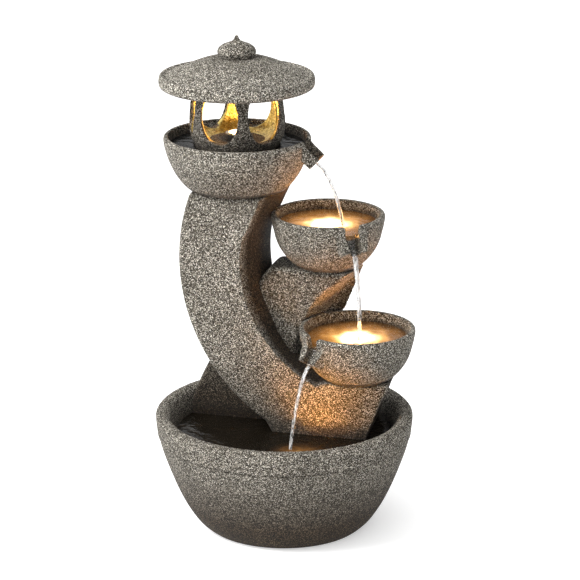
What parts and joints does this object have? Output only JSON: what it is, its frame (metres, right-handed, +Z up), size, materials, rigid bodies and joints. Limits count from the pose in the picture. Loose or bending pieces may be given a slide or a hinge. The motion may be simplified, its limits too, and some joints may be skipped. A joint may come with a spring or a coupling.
{
  "type": "tiered water fountain",
  "caption": "Free-standing tiered garden fountain: round basin, interlocked crescent columns, three spouted bowls and a lit lantern with a lift-off roof.",
  "frame": {"origin": "centre of the basin's flat base", "axes": "+Z up, -Y the front (the crescents' broad faces), +X to the side where the bowls step down"},
  "size_m": [0.4095, 0.406, 0.76],
  "materials": {
    "stone": "matt cast stone with fine light and dark grains",
    "gold_stone": "cast stone outside, brushed gold paint inside",
    "lens": "clear lamp lens with a warm light behind it",
    "steel": "brushed",
    "rubber": "matt black",
    "hose": "soft translucent vinyl",
    "foam": "open-cell foam",
    "ceramic": "polished",
    "magnet": "moulded ferrite rotor",
    "grey_plastic": "satin moulded",
    "black_plastic": "satin moulded",
    "water": "clear rippled water"
  },
  "bodies": {
    "fountain": {"basin": "stone", "front_crescent": "stone", "rear_crescent": "stone", "top_bowl": "stone", "middle_bowl": "stone", "lower_bowl": "stone", "lantern_cage": "gold_stone", "lantern_lamp_housing": "black_plastic", "lantern_lamp_lens": "lens", "lantern_lamp_ring": "steel", "middle_lamp_housing": "black_plastic", "middle_lamp_lens": "lens", "middle_lamp_ring": "steel", "lower_lamp_housing": "black_plastic", "lower_lamp_lens": "lens", "lower_lamp_ring": "steel", "spot_bracket": "grey_plastic", "pump_housing": "black_plastic", "pump_intake_cover": "grey_plastic", "pump_filter_foam": "foam", "pump_volute_plate": "grey_plastic", "pump_shaft": "ceramic", "pump_nozzle": "black_plastic", "suction_cup_front_left": "rubber", "suction_cup_back_left": "rubber", "suction_cup_front_right": "rubber", "suction_cup_back_right": "rubber", "riser_hose": "hose", "hose_clamp_pump": "steel", "hose_clamp_top": "steel", "outlet_fitting": "grey_plastic", "lantern_lamp_lead": "rubber", "middle_lamp_lead": "rubber", "lower_lamp_lead": "rubber", "spot_lamp_lead": "rubber", "pump_lead": "rubber", "power_lead": "rubber", "splitter_box": "black_plastic", "cable_gland": "rubber"},
    "roof": {"lantern_roof": "stone", "finial": "stone"},
    "spot_head": {"spot_lamp_housing": "black_plastic", "spot_lamp_lens": "lens", "spot_lamp_ring": "steel"},
    "pump_door": {"pump_door": "stone"},
    "rotor": {"pump_rotor": "magnet"},
    "flow_dial": {"flow_dial": "grey_plastic"},
    "drain_plug": {"drain_plug": "rubber"}
  },
  "joints": [
    {"name": "roof_lift", "type": "slide", "parent": "fountain", "child": "roof", "axis": [0, 0, 1], "range_m": [0, 0.12]},
    {"name": "spot_tilt", "type": "hinge", "parent": "fountain", "child": "spot_head", "pos_m": [0.055, -0.07, 0.04], "axis": [1, 0, 0], "range_deg": [-20, 25]},
    {"name": "pump_door_pull", "type": "slide", "parent": "fountain", "child": "pump_door", "axis": [0, 1, 0], "range_m": [0, 0.012]},
    {"name": "rotor_spin", "type": "hinge", "parent": "fountain", "child": "rotor", "pos_m": [-0.045, 0.077, 0.046], "axis": [0, 1, 0], "continuous": true},
    {"name": "flow_dial_turn", "type": "hinge", "parent": "fountain", "child": "flow_dial", "pos_m": [-0.019, 0.073, 0.056], "axis": [1, 0, 0], "range_deg": [-45, 45]},
    {"name": "drain_plug_pull", "type": "slide", "parent": "fountain", "child": "drain_plug", "axis": [0, 0, 1], "range_m": [0, 0.04]}
  ]
}
